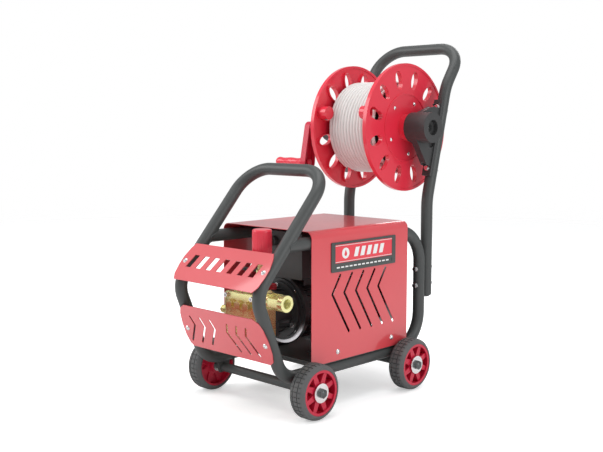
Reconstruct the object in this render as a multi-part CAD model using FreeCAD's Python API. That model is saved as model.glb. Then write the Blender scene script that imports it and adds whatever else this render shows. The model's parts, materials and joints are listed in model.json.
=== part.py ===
import FreeCAD
import Part
import os
from math import pi, sin, cos, tan, atan2, acos, radians, degrees, sqrt

# Wheeled electric pressure washer with a tubular frame, a sheet-metal cover, a brass-headed pump
# in front, a push handle at the rear and a hose reel on the handle.
# Millimetres. +X is the machine's right side seen from the front, +Y points to the rear,
# +Z is up. The origin is on the ground, in the middle of the overall length and width. All places
# below are measured from the ground point in the mid plane under the front axle, and save() shifts.

V = FreeCAD.Vector

# ---- driving dimensions ----------------------------------------------------------------
TUBE_R, TUBE_WALL = 17.5, 2.0          # all frame and handle tubes, 35 mm outside diameter
HALF_TRACK = 157.0                     # mid plane to the axis of each side tube
MIDDLE = (-92.95, 282.0)               # (x, y) of the origin: crank grip to cap nuts, panel to handle
RAIL_Z, TOP_RAIL_Z = 110.0, 461.0      # lower and upper side rail axes
REAR_Y = 514.0                         # axis of the rear uprights
JOINT_Y = 30.0                         # butt weld of hoop and rear loop in the lower rail
KNEE = (-162.0, 342.0)                 # (y, z) where the hoop's front legs change direction
TOE = (-68.4, 110.0)                   # (y, z) corner of the hoop at the lower front
HOOP_TOP = (111.0, 648.5)              # (y, z) of the hoop's top bar
BEND_KNEE, BEND_TOE, BEND_REAR, BEND_HOOP = 70.0, 70.0, 100.0, 85.0

HANDLE = [(549.6, 258.0), (549.6, 547.6), (637.4, 890.5), (723.1, 1013.0)]
BEND_HANDLE = [200.0, 150.0, 85.0]

WHEEL_R, WHEEL_X0, WHEEL_X1 = 75.0, 182.0, 234.0
RIM_R, HUB_R, AXLE_R, AXLE_FIT = 61.0, 20.0, 10.0, 0.05
AXLE_BODY_R = 13.0                     # axle between the lugs
WHEEL_Y = (0.0, 408.0)

COVER_Y0, COVER_Y1, COVER_Z0, COVER_Z1 = 22.0, 431.0, 130.0, 493.0
COVER_X, SHEET = 176.5, 1.5
PLATE_Z0, PLATE_Z1, PLATE_Y0, PLATE_Y1 = 127.5, 130.0, 58.0, 412.0
LIP_X, LIP_Z1 = 135.0, 162.0           # folded rear edge of the base plate
COVER_SCREWS = [(127.0, 154.0), (360.0, 156.0)]
PLATE_SCREW_Y = (75.0, 398.0)

PANEL_T = 2.0
SCREW_R, SCREW_HEAD_R, SCREW_HEAD_H = 4.0, 7.5, 4.5

MOTOR_Z = 256.0
BARREL_Y0, BARREL_Y1, BARREL_R, FIN_R = 96.0, 430.0, 82.0, 91.0
STATOR_R, STATOR_IN, ROTOR_R = 72.0, 42.2, 41.8
SHAFT_R, SHAFT_R2, BEARING_FIT = 14.0, 12.5, 0.03
COWL_R, COWL_Y1 = 100.0, 530.0
BOX_SEAT_Z = 350.0                     # top of the motor's seat for the control box

HEAD_X, HEAD_Y0, HEAD_Z0, HEAD_Z1 = 62.0, -75.0, 190.0, 322.0
PLUNGER_PCR, PLUNGER_R, PLUNGER_FIT = 34.0, 7.0, 0.05
VALVE_Y, INLET_Z = -60.0, 311.0        # axis of the unloader and inlet, height of the inlet
OUTLET_Y, OUTLET_Z = -50.0, 262.0      # axis of the pressure outlet
KNOB_X, KNOB_R, KNOB_Z0, KNOB_Z1 = 73.0, 26.5, 436.0, 500.0

REEL_Y, REEL_Z = 507.6, 765.7
FLANGE_R, FLANGE_X0, FLANGE_T = 191.5, 99.6, 8.0
HOLE_RING, HOLE_LONG, HOLE_WIDE, HOLES = 145.0, 56.0, 30.0, 12
DRUM_R, COIL_R, COIL_HALF = 62.0, 140.0, 83.0
REEL_SHAFT_R, HUB_OUT_R, HUB_X0, HUB_X1 = 12.0, 45.0, 131.5, 207.0
BRACKET_BOLTS = [(572.8, 638.2), (619.4, 820.2)]
CRANK_X0, CRANK_X1, CRANK_THROW, CRANK_TILT = -280.0, -302.0, 116.9, 8.2
GRIP_LEN = 128.0

OUT = "parts"
os.makedirs(OUT, exist_ok=True)


# ---- helpers ---------------------------------------------------------------------------
def cyl_x(r, x0, x1, y, z):
    return Part.makeCylinder(r, x1 - x0, V(x0, y, z), V(1, 0, 0))


def cyl_y(r, y0, y1, x, z):
    return Part.makeCylinder(r, y1 - y0, V(x, y0, z), V(0, 1, 0))


def cyl_z(r, z0, z1, x, y):
    return Part.makeCylinder(r, z1 - z0, V(x, y, z0), V(0, 0, 1))


def ring_x(r1, r0, x0, x1, y, z):
    return cyl_x(r1, x0, x1, y, z).cut(cyl_x(r0, x0 - 1, x1 + 1, y, z))


def ring_y(r1, r0, y0, y1, x, z):
    return cyl_y(r1, y0, y1, x, z).cut(cyl_y(r0, y0 - 1, y1 + 1, x, z))


def ring_z(r1, r0, z0, z1, x, y):
    return cyl_z(r1, z0, z1, x, y).cut(cyl_z(r0, z0 - 1, z1 + 1, x, y))


def box(x0, x1, y0, y1, z0, z1):
    return Part.makeBox(x1 - x0, y1 - y0, z1 - z0, V(x0, y0, z0))


def prism(points, direction):
    """Closed polygon of 3D points, extruded."""
    pts = [V(*p) for p in points]
    face = Part.Face(Part.makePolygon(pts + [pts[0]]))
    return face.extrude(V(*direction))


def hexagon(across_flats, h, base, axis, turn=0.0):
    """Hexagonal prism from base along axis (one of the row axes)."""
    r = across_flats / 2 / cos(pi / 6)
    a = V(*axis)
    u = V(0, 0, 1) if abs(a.z) < 0.5 else V(1, 0, 0)
    w = a.cross(u)
    b = V(*base)
    pts = [b + u * (r * cos(radians(60 * i + turn))) + w * (r * sin(radians(60 * i + turn)))
           for i in range(6)]
    return Part.Face(Part.makePolygon(pts + [pts[0]])).extrude(a * h)


def fuse(shapes):
    s = shapes[0]
    if len(shapes) > 1:
        s = s.multiFuse(shapes[1:])
    return s.removeSplitter()


def mirror_x(s):
    return s.mirror(V(0, 0, 0), V(1, 0, 0))


def rounded(shape, r, test):
    """Fillet the edges that pass the test."""
    edges = [e for e in shape.Edges if test(e)]
    return shape.makeFillet(r, edges) if edges else shape


def along(e, axis, tol=1e-4):
    """True if a straight edge runs along a row axis."""
    if not isinstance(e.Curve, Part.Line):
        return False
    d = e.tangentAt(e.FirstParameter)
    return abs(abs(d.dot(V(*axis))) - 1) < tol


def pipe(points, radii, r):
    """Solid rod of radius r along a polyline whose corners are bent with the given radii."""
    p = [V(*q) for q in points]
    pieces = []
    start = p[0]
    for i in range(1, len(p)):
        if i < len(p) - 1:
            a = (p[i] - p[i - 1]).normalize()
            b = (p[i + 1] - p[i]).normalize()
            turn = acos(max(-1.0, min(1.0, a.dot(b))))
            cut = radii[i - 1] * tan(turn / 2)
            end = p[i] - a * cut
        else:
            a = (p[i] - p[i - 1]).normalize()
            end = p[i]
        if (end - start).Length > 1e-6:
            pieces.append(Part.makeCylinder(r, (end - start).Length, start, a))
        if i < len(p) - 1:
            n = a.cross(b).normalize()
            centre = end + n.cross(a) * radii[i - 1]
            disc = Part.Face(Part.Wire(Part.makeCircle(r, end, a)))
            pieces.append(disc.revolve(centre, n, degrees(turn)))
            start = p[i] + b * cut
    return fuse(pieces)


def tube(points, radii, r=TUBE_R, wall=TUBE_WALL):
    return pipe(points, radii, r).cut(pipe(points, radii, r - wall))


def dome_screw(base, axis, length):
    """Button-head screw: base is on the clamped face, axis points out of it."""
    a = V(*axis).normalize()
    b = V(*base)
    shank = Part.makeCylinder(SCREW_R, length + 0.5, b - a * length, a)
    ball_r = (SCREW_HEAD_R ** 2 + SCREW_HEAD_H ** 2) / (2 * SCREW_HEAD_H)
    ball = Part.makeSphere(ball_r, b - a * (ball_r - SCREW_HEAD_H))
    head = Part.makeCylinder(SCREW_HEAD_R, SCREW_HEAD_H + 1, b, a).common(ball)
    return fuse([shank, head]).cut(Part.makeCylinder(2.4, 3, b + a * (SCREW_HEAD_H - 2.4), a))


def bolt(across, head_h, r, length, base, axis):
    """Hexagon bolt: base is under the head, axis points away from the clamped parts."""
    a = V(*axis).normalize()
    b = V(*base)
    rr = across / 2 / cos(pi / 6)
    u = V(1, 0, 0) if abs(a.x) < 0.9 else V(0, 0, 1)
    u = (u - a * u.dot(a)).normalize()
    w = a.cross(u)
    pts = [b + u * (rr * cos(pi / 3 * i)) + w * (rr * sin(pi / 3 * i)) for i in range(6)]
    head = Part.Face(Part.makePolygon(pts + [pts[0]])).extrude(a * head_h)
    cone = Part.makeCone(rr + 0.2 + head_h * 1.6, rr - 1.0, head_h * 1.0001, b, a)
    head = head.common(cone)
    return fuse([head, Part.makeCylinder(r, length + 0.5, b - a * length, a)])


def save(name, *shapes):
    solids = [q.translated(V(-MIDDLE[0], -MIDDLE[1], 0)) for s in shapes for q in s.Solids]
    shape = solids[0] if len(solids) == 1 else Part.makeCompound(solids)
    shape.exportStep(OUT + "/" + name + ".step")


X = HALF_TRACK

# ---- frame tubes -----------------------------------------------------------------------
hoop_pts = [(X, JOINT_Y, RAIL_Z), (X,) + TOE, (X,) + KNEE, (X,) + HOOP_TOP,
            (-X,) + HOOP_TOP, (-X,) + KNEE, (-X,) + TOE, (-X, JOINT_Y, RAIL_Z)]
hoop_radii = [BEND_TOE, BEND_KNEE, BEND_HOOP, BEND_HOOP, BEND_KNEE, BEND_TOE]
hoop_rod = pipe(hoop_pts, hoop_radii, TUBE_R)
hoop = hoop_rod.cut(pipe(hoop_pts, hoop_radii, TUBE_R - TUBE_WALL))

# direction of the upper and lower front legs in the YZ plane, and their forward normals
du = V(0, HOOP_TOP[0] - KNEE[0], HOOP_TOP[1] - KNEE[1]).normalize()
nu = V(0, -du.z, du.y)
dl = V(0, KNEE[0] - TOE[0], KNEE[1] - TOE[1]).normalize()
nl = V(0, -dl.z, dl.y)
knee = V(0, KNEE[0], KNEE[1])

leg_y = KNEE[0] + (TOP_RAIL_Z - KNEE[1]) * du.y / du.z
loop_pts = [(X, leg_y, TOP_RAIL_Z), (X, REAR_Y, TOP_RAIL_Z), (X, REAR_Y, RAIL_Z), (X, JOINT_Y, RAIL_Z)]
loop = tube(loop_pts, [BEND_REAR, BEND_REAR])
leg_rod = Part.makeCylinder(TUBE_R, 260, knee + V(X, 0, 0) + du * 60, du)
loop = loop.cut(leg_rod)
loop = max(loop.Solids, key=lambda s: s.Volume)

# screw positions on the front panels: distance along the leg from the knee
UPPER_SCREW, LOWER_SCREW = 62.0, -135.0
up_face = TUBE_R + PANEL_T
upper_screws = [knee + V(sx * X, 0, 0) + du * UPPER_SCREW for sx in (-1, 1)]
lower_screws = [knee + V(sx * X, 0, 0) + dl * LOWER_SCREW for sx in (-1, 1)]
for p in upper_screws:
    hoop = hoop.cut(Part.makeCylinder(SCREW_R, 30, p, nu))
for p in lower_screws:
    hoop = hoop.cut(Part.makeCylinder(SCREW_R, 30, p, nl))

# holes for the base plate's screws in the lower rails, and for the handle's bolts
for y in PLATE_SCREW_Y:
    loop = loop.cut(cyl_z(SCREW_R, RAIL_Z, 140, X, y))
HANDLE_BOLT_Z, TB_R = (290.0, 340.0), 4.0
for z in HANDLE_BOLT_Z:
    loop = loop.cut(cyl_y(TB_R, 480, 540, X, z))
save("front_hoop", hoop)
save("rear_loops", loop, mirror_x(loop))

cross = []
rail_rods = [cyl_y(TUBE_R, -60, 500, s * X, RAIL_Z) for s in (-1, 1)]
for y in (86.0, 392.0):
    c = cyl_x(10.0, -X, X, y, PLATE_Z0 - 10.0).cut(cyl_x(8.5, -X, X, y, PLATE_Z0 - 10.0))
    for rod in rail_rods:
        c = c.cut(rod)
    cross.append(max(c.Solids, key=lambda s: s.Volume))
save("cross_tubes", *cross)

# ---- axles and wheels ------------------------------------------------------------------
lugs, axles, washers, nuts = [], [], [], []
for y in WHEEL_Y:
    for s in (-1, 1):
        plate = prism([(s * X - 4, y - 24, RAIL_Z - 8), (s * X - 4, y - 15, WHEEL_R - 14),
                       (s * X - 4, y + 15, WHEEL_R - 14), (s * X - 4, y + 24, RAIL_Z - 8)], (8, 0, 0))
        plate = plate.cut(cyl_y(TUBE_R, y - 40, y + 40, s * X, RAIL_Z) if y > 1 else hoop_rod)
        lugs.append(plate.cut(cyl_x(AXLE_R, s * X - 9, s * X + 9, y, WHEEL_R)))
        inner = WHEEL_X0 - 2.4
        outer = WHEEL_X1 - 1.8
        a0, a1 = (inner, inner + 2.0) if s > 0 else (-inner - 2.0, -inner)
        washers.append(ring_x(17.0, AXLE_R, a0, a1, y, WHEEL_R))
        b0, b1 = (outer, outer + 2.5) if s > 0 else (-outer - 2.5, -outer)
        washers.append(ring_x(26.0, 6.0, b0, b1, y, WHEEL_R))
        end = outer + 2.5
        nut = hexagon(23.0, 8.0, (s * end, y, WHEEL_R), (s, 0, 0))
        dome = cyl_x(10.8, min(s * end, s * (end + 10)), max(s * end, s * (end + 10)), y, WHEEL_R)
        dome = dome.common(Part.makeSphere(13.0, V(s * (end - 1.5), y, WHEEL_R)))
        bore = cyl_x(6.0, min(s * (end - 1), s * (end + 7)), max(s * (end - 1), s * (end + 7)), y, WHEEL_R)
        nuts.append(fuse([nut, dome]).cut(bore))
    axles.append(fuse([cyl_x(AXLE_R, -outer, outer, y, WHEEL_R),
                       cyl_x(AXLE_BODY_R, -(X - 4.1), X - 4.1, y, WHEEL_R),
                       cyl_x(6.0, -(outer + 8.0), outer + 8.0, y, WHEEL_R)]))
save("axle_lugs", *lugs)
save("axles", *axles)
save("axle_washers", *washers)
save("axle_cap_nuts", *nuts)


def tyre_and_rim():
    """One wheel in its own frame: axis X, outer face at +X, centre at the origin."""
    w = (WHEEL_X1 - WHEEL_X0) / 2
    tread = 4.0
    prof = [V(-w + 5, 0, WHEEL_R - tread), V(-w + 9, 0, WHEEL_R - 1.0), V(-w + 13, 0, WHEEL_R),
            V(w - 13, 0, WHEEL_R), V(w - 9, 0, WHEEL_R - 1.0), V(w - 5, 0, WHEEL_R - tread),
            V(w, 0, RIM_R + 4), V(w, 0, RIM_R), V(-w, 0, RIM_R), V(-w, 0, RIM_R + 4)]
    tyre = Part.Face(Part.makePolygon(prof + [prof[0]])).revolve(V(0, 0, 0), V(1, 0, 0), 360)
    cuts = []
    for i in range(36):
        c = box(-w - 1, w + 1, -1.3, 1.3, WHEEL_R - 2.4, WHEEL_R + 2)
        c.rotate(V(0, 0, 0), V(1, 0, 0), 10.0 * i)
        cuts.append(c)
    for x in (-8.0, 8.0):
        cuts.append(ring_x(WHEEL_R + 2, WHEEL_R - 2.4, x - 1.2, x + 1.2, 0, 0))
    tyre = tyre.cut(Part.makeCompound(cuts))
    barrel = ring_x(RIM_R, RIM_R - 5.0, -w + 2, w - 2, 0, 0)
    lip = ring_x(RIM_R, RIM_R - 7.5, w - 5, w - 1, 0, 0)
    hub = cyl_x(HUB_R, -w - 0.0, w - 2.0, 0, 0)
    boss = cyl_x(HUB_R + 7.0, -w + 14, w - 8, 0, 0)
    web = cyl_x(RIM_R - 4.0, -4, 0, 0, 0)
    parts = [barrel, lip, hub, boss, web]
    for i in range(8):
        spoke = prism([(w - 5.5, -9.0, HUB_R - 2), (w - 5.5, 9.0, HUB_R - 2),
                       (w - 5.5, 6.0, RIM_R - 4.5), (w - 5.5, -6.0, RIM_R - 4.5)], (-30, 0, 0))
        spoke.rotate(V(0, 0, 0), V(1, 0, 0), 45.0 * i + 22.5)
        parts.append(spoke)
    rim = fuse(parts).cut(cyl_x(AXLE_R + AXLE_FIT, -w - 5, w + 5, 0, 0))
    return tyre, rim


tyre0, rim0 = tyre_and_rim()
tyre0m, rim0m = mirror_x(tyre0), mirror_x(rim0)
for tag, y in (("front", WHEEL_Y[0]), ("rear", WHEEL_Y[1])):
    for side, s in (("left", -1), ("right", 1)):
        at = V(s * (WHEEL_X0 + WHEEL_X1) / 2, y, WHEEL_R)
        for nm, shp in (("tyre", tyre0 if s > 0 else tyre0m), ("rim", rim0 if s > 0 else rim0m)):
            c = shp.copy()
            c.translate(at)
            save("%s_%s_%s" % (nm, tag, side), c)

# ---- base plate and cover --------------------------------------------------------------
flange_x = COVER_X - SHEET
plate = box(-flange_x, flange_x, PLATE_Y0, PLATE_Y1, PLATE_Z0, PLATE_Z1)
lip = box(-LIP_X, LIP_X, PLATE_Y1 - 2.5, PLATE_Y1, PLATE_Z0, LIP_Z1)
sides = [box(s * flange_x - (2.5 if s > 0 else 0), s * flange_x + (0 if s > 0 else 2.5),
             95.0, 395.0, PLATE_Z0, 172.0) for s in (-1, 1)]
plate = fuse([plate, lip] + sides)
FOOT = [(s * 82.0, y) for s in (-1, 1) for y in (150.0, 370.0)]
plate = plate.cut(Part.makeCompound(
    [cyl_z(4.0, 120, 140, x, y) for x, y in FOOT]
    + [cyl_z(SCREW_R + 0.2, 120, 140, s * X, y) for s in (-1, 1) for y in PLATE_SCREW_Y]
    + [cyl_x(SCREW_R, -200, 200, y, z) for y, z in COVER_SCREWS]
    + [cyl_z(14.0, 120, 140, x, 262.0) for x in (-60.0, 0.0, 60.0)]))
save("base_plate", plate)

cover = box(-COVER_X, COVER_X, COVER_Y0, COVER_Y1, COVER_Z0, COVER_Z1)
cover = rounded(cover, 20.0, lambda e: along(e, (0, 1, 0)) and e.CenterOfMass.z > 400)
inner = box(-COVER_X + SHEET, COVER_X - SHEET, COVER_Y0 - 5, COVER_Y1 + 5, 0, COVER_Z1 - SHEET)
inner = rounded(inner, 20.0 - SHEET, lambda e: along(e, (0, 1, 0)) and e.CenterOfMass.z > 400)
cover = cover.cut(inner)
cover = rounded(cover, 16.0, lambda e: along(e, (1, 0, 0)) and e.Length < 2 and e.CenterOfMass.z < 140)
SLOT_PITCH, SLOT_W = 48.5, 3.8
slots = []
for k in range(5):
    spine = [(135.5 + SLOT_PITCH * k, 366.0), (103.4 + SLOT_PITCH * k, 316.0),
             (171.9 + SLOT_PITCH * k, 205.0)]
    for (ya, za), (yb, zb) in zip(spine[:-1], spine[1:]):
        ln = sqrt((yb - ya) ** 2 + (zb - za) ** 2)
        n = (-(zb - za) / ln * SLOT_W, (yb - ya) / ln * SLOT_W)
        slots.append(prism([(-200, ya + n[0], za + n[1]), (-200, yb + n[0], zb + n[1]),
                            (-200, yb - n[0], zb - n[1]), (-200, ya - n[0], za - n[1])], (400, 0, 0)))
    for ya, za in spine:
        slots.append(cyl_x(SLOT_W, -200, 200, ya, za))
cover = cover.cut(Part.makeCompound([slots[0].multiFuse(slots[1:])]))
cover = cover.cut(Part.makeCompound([cyl_x(SCREW_R + 0.2, -200, 200, y, z) for y, z in COVER_SCREWS]))
save("cover", cover)

# nameplates: a dark plate with a raised border on each side, with a plain pattern of inlays
NP_Y0, NP_Y1, NP_Z0, NP_Z1 = 97.0, 372.0, 375.5, 457.4
plates, inlays = [], []
np_box = box(COVER_X, COVER_X + 2.4, NP_Y0, NP_Y1, NP_Z0, NP_Z1)
np_box = rounded(np_box, 4.0, lambda e: along(e, (1, 0, 0)))
field = box(COVER_X + 1.6, COVER_X + 3, NP_Y0 + 16, NP_Y1 - 16, NP_Z0 + 24, NP_Z1 - 7)
strip = box(COVER_X + 1.6, COVER_X + 3, NP_Y0 + 16, NP_Y1 - 16, NP_Z0 + 7, NP_Z0 + 17)
np_box = np_box.cut(field).cut(strip)
x0 = COVER_X + 1.6
bars = [box(x0, x0 + 0.6, NP_Y0 + 22 + 17.5 * i, NP_Y0 + 34 + 17.5 * i, NP_Z0 + 10, NP_Z0 + 14)
        for i in range(13)]
ym, zm = NP_Y0 + 58.0, (NP_Z0 + 24 + NP_Z1 - 7) / 2
disc = cyl_x(15.0, x0, x0 + 0.6, ym, zm)
drop = fuse([cyl_x(5.6, x0 - 1, x0 + 2, ym, zm - 2.5),
             prism([(x0 - 1, ym - 5.2, zm - 0.4), (x0 - 1, ym + 5.2, zm - 0.4), (x0 - 1, ym, zm + 10.5)],
                   (3, 0, 0))])
stripes = [prism([(x0, ym + 34 + 27 * i, zm - 13), (x0, ym + 50 + 27 * i, zm - 13),
                  (x0, ym + 58 + 27 * i, zm + 13), (x0, ym + 42 + 27 * i, zm + 13)], (0.6, 0, 0))
           for i in range(5)]
marks = bars + [disc.cut(drop)] + stripes
for s in (1, -1):
    plates.append(np_box if s > 0 else mirror_x(np_box))
    inlays += [m if s > 0 else mirror_x(m) for m in marks]
save("nameplates", *plates)
save("nameplate_inlays", *inlays)


# ---- front panels ----------------------------------------------------------------------
def on_leg(x, s, o, d, n):
    """Point at x, distance s along the leg from the knee, offset o forward of its axis."""
    p = knee + d * s + n * o
    return (x, p.y, p.z)


def panel_sheet(outline, d, n):
    pts = [on_leg(x, s, TUBE_R, d, n) for x, s in outline]
    return prism(pts, tuple(n * PANEL_T))


def panel_cut(poly, d, n):
    pts = [on_leg(x, s, TUBE_R - 5, d, n) for x, s in poly]
    return prism(pts, tuple(n * 15))


def symmetric(half):
    return half + [(-x, s) for x, s in reversed(half)]


upper = panel_sheet(symmetric([(157, 0), (168, 18), (172, 48), (172, 74), (164, 104), (155, 121)]), du, nu)
lower = panel_sheet(symmetric([(155, -193), (167, -184), (174, -158), (174, -122), (168, -88),
                               (158, -68), (140, -58)]), dl, nl)
vents = []
for i in range(7):
    a = -141.0 + 42.0 * i
    vents.append(panel_cut([(a, 43), (a + 20, 43), (a + 31, 84), (a + 11, 84)], du, nu))
upper = upper.cut(Part.makeCompound(vents))


def chevron(x0, sign, w=3.3):
    """Bent slot; the spine runs down the panel with its corner towards the middle."""
    spine = [(x0, -93.0), (x0 - sign * 10.0, -118.0), (x0 + sign * 23.0, -172.0)]
    out = []
    for (xa, sa), (xb, sb) in zip(spine[:-1], spine[1:]):
        ln = sqrt((xb - xa) ** 2 + (sb - sa) ** 2)
        ox, os_ = -(sb - sa) / ln * w, (xb - xa) / ln * w
        out.append(panel_cut([(xa + ox, sa + os_), (xb + ox, sb + os_), (xb - ox, sb - os_),
                              (xa - ox, sa - os_)], dl, nl))
    for xa, sa in spine:
        p = on_leg(xa, sa, TUBE_R - 5, dl, nl)
        out.append(Part.makeCylinder(w, 15, V(*p), nl))
    return out


slots = []
for i in range(3):
    slots += chevron(-128.0 + 42.0 * i, -1)
    slots += chevron(100.0 - 37.0 * i, 1)
lower = lower.cut(slots[0].multiFuse(slots[1:]))
for p in upper_screws:
    upper = upper.cut(Part.makeCylinder(SCREW_R + 0.2, 40, p, nu))
for p in lower_screws:
    lower = lower.cut(Part.makeCylinder(SCREW_R + 0.2, 40, p, nl))
save("upper_front_panel", upper)
save("lower_front_panel", lower)

screws = [dome_screw(tuple(p + nu * up_face), tuple(nu), 9.0) for p in upper_screws]
screws += [dome_screw(tuple(p + nl * up_face), tuple(nl), 9.0) for p in lower_screws]
for s in (-1, 1):
    screws += [dome_screw((s * COVER_X, y, z), (s, 0, 0), 9.0) for y, z in COVER_SCREWS]
    screws += [dome_screw((s * X, y, PLATE_Z1), (0, 0, 1), 9.0) for y in PLATE_SCREW_Y]
save("dome_screws", *screws)

# ---- rear handle -----------------------------------------------------------------------
h_pts = [(X,) + p for p in HANDLE] + [(-X,) + p for p in reversed(HANDLE)]
h_radii = BEND_HANDLE + BEND_HANDLE[::-1]
handle = tube(h_pts, h_radii)
lean = V(0, BRACKET_BOLTS[1][0] - BRACKET_BOLTS[0][0], BRACKET_BOLTS[1][1] - BRACKET_BOLTS[0][1])
lean = lean.normalize()
front_n = V(0, -lean.z, lean.y)
holes = []
for s in (-1, 1):
    for z in HANDLE_BOLT_Z:
        holes.append(cyl_y(TB_R, 520, 600, s * X, z))
    for y, z in BRACKET_BOLTS:
        holes.append(Part.makeCylinder(TB_R, 80, V(s * X, y, z) - front_n * 40, front_n))
handle = handle.cut(Part.makeCompound(holes))
save("rear_handle", handle)

plugs = []
for s in (-1, 1):
    y, z = HANDLE[0]
    stem = cyl_z(TUBE_R - TUBE_WALL, z, z + 18, s * X, y)
    cap = Part.makeSphere(21.5, V(s * X, y, z + 12.5)).common(cyl_z(TUBE_R, z - 12, z, s * X, y))
    plugs.append(fuse([stem, cap]))
save("handle_end_plugs", *plugs)


def through_bolt(front, back, out):
    """Bolt with washer and nut: front and back are the clamped faces, out points forwards."""
    f, b = V(*front), V(*back)
    o = V(*out)
    washer = Part.makeCylinder(9.5, 1.6, f, o).cut(Part.makeCylinder(TB_R, 3, f - o, o))
    body = bolt(13.0, 5.3, TB_R, (f - b).Length + 12.0, tuple(f + o * 1.6), tuple(o))
    nut_base = b
    u = V(1, 0, 0)
    w = o.cross(u)
    rr = 6.5 / cos(pi / 6)
    pts = [nut_base + u * (rr * cos(pi / 3 * i)) + w * (rr * sin(pi / 3 * i)) for i in range(6)]
    nut = Part.Face(Part.makePolygon(pts + [pts[0]])).extrude(o * -6.5)
    nut = nut.cut(Part.makeCylinder(TB_R, 12, b + o, o * -1))
    return [washer, body, nut]


PAD_T = 9.0
tube_bolts = []
for s in (-1, 1):
    for z in HANDLE_BOLT_Z:
        tube_bolts += through_bolt((s * X, REAR_Y - TUBE_R, z), (s * X, HANDLE[0][0] + TUBE_R, z),
                                   (0, -1, 0))
    for y, z in BRACKET_BOLTS:
        p = V(s * X, y, z)
        tube_bolts += through_bolt(tuple(p + front_n * (TUBE_R + PAD_T)), tuple(p - front_n * TUBE_R),
                                   tuple(front_n))
save("tube_bolts", *tube_bolts)

# ---- motor -----------------------------------------------------------------------------
ZM = MOTOR_Z
pts = []
FINS = 30
for i in range(FINS):
    a = 2 * pi * i / FINS
    h_in, h_out = 3.4 / BARREL_R / 2 + 0.002, 2.4 / FIN_R / 2
    gap = 2 * pi / FINS
    for ang, r in ((a - h_in, BARREL_R), (a - h_out, FIN_R), (a + h_out, FIN_R), (a + h_in, BARREL_R),
                   (a + gap / 2, BARREL_R)):
        pts.append((r * sin(ang), BARREL_Y0, ZM + r * cos(ang)))
barrel = prism(pts, (0, BARREL_Y1 - BARREL_Y0, 0))
feet = []
for s in (-1, 1):
    for y in (150.0, 370.0):
        pad = box(s * 82 - 20, s * 82 + 20, y - 26, y + 26, PLATE_Z1, PLATE_Z1 + 10)
        web = prism([(s * 94, y + 9, PLATE_Z1 + 5), (s * 66, y + 9, ZM - 66), (s * 30, y + 9, ZM - 78),
                     (s * 58, y + 9, PLATE_Z1 + 5)], (0, 12, 0))
        feet += [pad, web]
pad_top = box(-50, 62, 110, 190, ZM + 70, BOX_SEAT_Z)
rings = [cyl_y(FIN_R, BARREL_Y0, BARREL_Y0 + 8, 0, ZM), cyl_y(FIN_R, BARREL_Y1 - 8, BARREL_Y1, 0, ZM)]
housing = fuse([barrel, pad_top] + rings + feet).cut(cyl_y(STATOR_R, 0, 600, 0, ZM))
housing = housing.cut(Part.makeCompound([cyl_z(4.0, 100, 150, x, y) for x, y in FOOT]))
SHIELD = [(77.5 * sin(radians(a)), ZM + 77.5 * cos(radians(a))) for a in (45, 135, 225, 315)]
screw_holes = [cyl_y(3.0, BARREL_Y0 - 1, BARREL_Y0 + 14, x, z) for x, z in SHIELD]
screw_holes += [cyl_y(3.0, BARREL_Y1 - 14, BARREL_Y1 + 1, x, z) for x, z in SHIELD]
housing = housing.cut(Part.makeCompound(screw_holes))
save("motor_housing", housing)

front_shield = fuse([cyl_y(97.0, 82, BARREL_Y0, 0, ZM), cyl_y(88.0, 78, 83, 0, ZM),
                     ring_y(STATOR_R, 60, BARREL_Y0, BARREL_Y0 + 8, 0, ZM)])
front_shield = front_shield.cut(cyl_y(31.0, 84, 120, 0, ZM)).cut(cyl_y(20.0, 60, 120, 0, ZM))
front_shield = front_shield.cut(Part.makeCompound([cyl_y(3.2, 70, 120, x, z) for x, z in SHIELD]))
PUMP_BOLTS = [(70.0 * sin(radians(60 * i)), ZM - 70.0 * cos(radians(60 * i))) for i in range(6)]
front_shield = front_shield.cut(Part.makeCompound([cyl_y(4.0, 70, 92, x, z) for x, z in PUMP_BOLTS]))
front_shield = front_shield.cut(Part.makeCompound([cyl_y(6.5, 76, 82.5, x, z) for x, z in SHIELD]))
front_shield = front_shield.cut(box(-100, 110, 70, 100, BOX_SEAT_Z - 0.2, 360))  # flat under the box
save("front_end_shield", front_shield)

rear_shield = fuse([cyl_y(FIN_R, BARREL_Y1, 440, 0, ZM), cyl_y(40.0, 439, 450, 0, ZM),
                    ring_y(STATOR_R, 60, BARREL_Y1 - 8, BARREL_Y1, 0, ZM)]
                   + [cyl_y(COWL_R - 1.2, BARREL_Y1, 440, 0, ZM).common(
                       box(-120, 120, 400, 460, ZM - 10, ZM + 10)),
                      cyl_y(COWL_R - 1.2, BARREL_Y1, 440, 0, ZM).common(
                       box(-10, 10, 400, 460, ZM - 120, ZM + 120))])
rear_shield = rear_shield.cut(cyl_y(26.0, 400, 446, 0, ZM)).cut(cyl_y(15.0, 400, 460, 0, ZM))
rear_shield = rear_shield.cut(Part.makeCompound([cyl_y(3.2, 420, 450, x, z) for x, z in SHIELD]))
COWL_SCREWS = [0, 90, 180, 270]
for a in COWL_SCREWS:
    d = V(sin(radians(a)), 0, cos(radians(a)))
    rear_shield = rear_shield.cut(Part.makeCylinder(3.0, 14, V(0, 435, ZM) + d * (COWL_R - 13), d))
save("rear_end_shield", rear_shield)

coils = [ring_y(68.0, 46.0, 142, 170, 0, ZM), ring_y(68.0, 46.0, 330, 358, 0, ZM)]
core = ring_y(STATOR_R, STATOR_IN, 170, 330, 0, ZM)
save("stator", core, *coils)
save("motor_bearings", ring_y(31.0, SHAFT_R + BEARING_FIT, 84, 98, 0, ZM),
     ring_y(26.0, SHAFT_R2 + BEARING_FIT, 434, 446, 0, ZM))

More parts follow.
